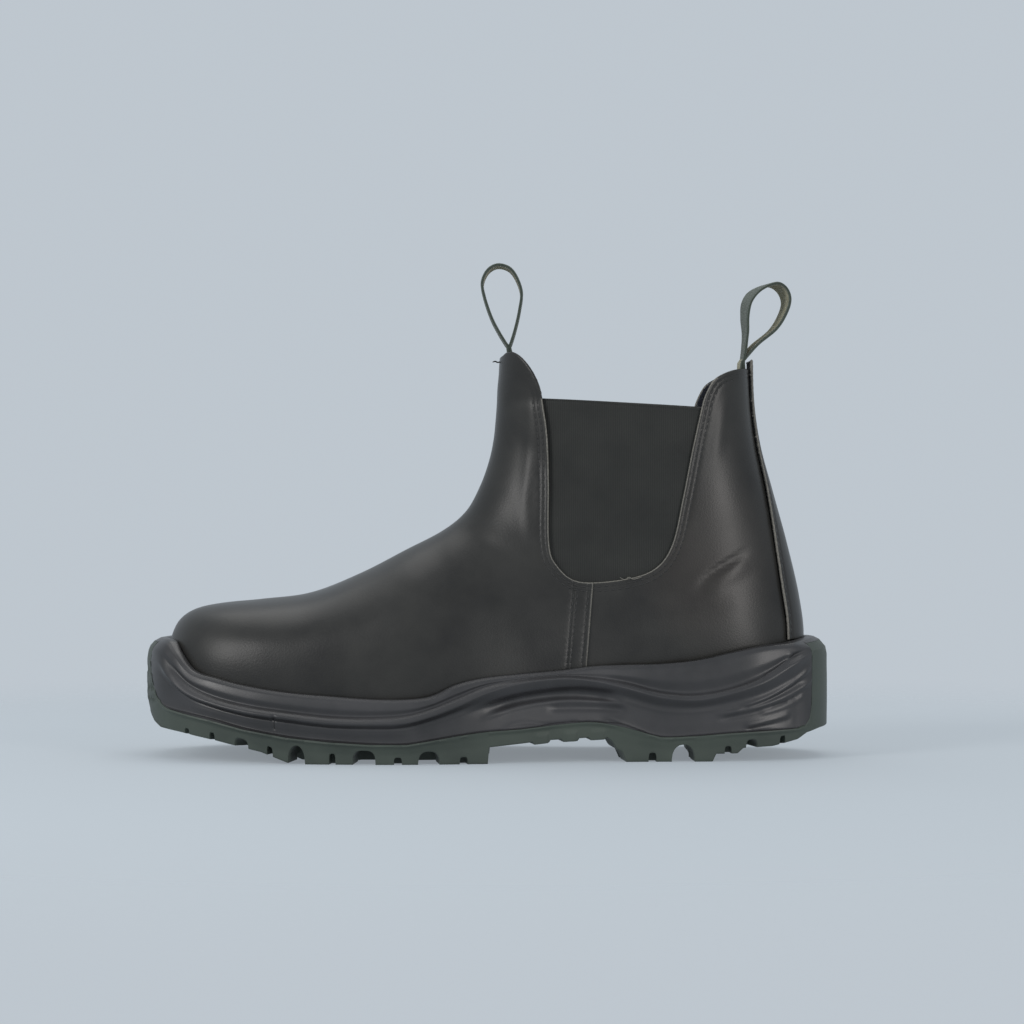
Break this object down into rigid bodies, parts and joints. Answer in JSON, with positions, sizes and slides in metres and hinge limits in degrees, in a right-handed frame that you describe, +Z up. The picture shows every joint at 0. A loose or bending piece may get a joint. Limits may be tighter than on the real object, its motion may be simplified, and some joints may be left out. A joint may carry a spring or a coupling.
{
  "type": "side gore work boot",
  "caption": "Black leather ankle work boot with elastic side gores, webbing pull loops front and back, a moulded cup midsole and a lugged rubber outsole, left foot, standing empty.",
  "frame": {"origin": "on the floor under the middle of the boot's bounding box", "axes": "+X from toe to heel, +Y to the inner (medial) side, +Z up"},
  "size_m": [0.3022, 0.1144, 0.2175],
  "materials": {
    "rubber": "matte moulded rubber",
    "foam": "satin moulded polyurethane",
    "lining": "matte textile",
    "leather": "oiled satin",
    "elastic": "matte ribbed elastic",
    "webbing": "matte woven webbing"
  },
  "bodies": {
    "root": {"outsole": "rubber", "midsole": "foam", "insole": "lining", "upper": "leather", "gore_lateral": "elastic", "gore_medial": "elastic", "back_strip": "leather", "pull_loop_front": "webbing", "pull_loop_back": "webbing"}
  },
  "joints": []
}
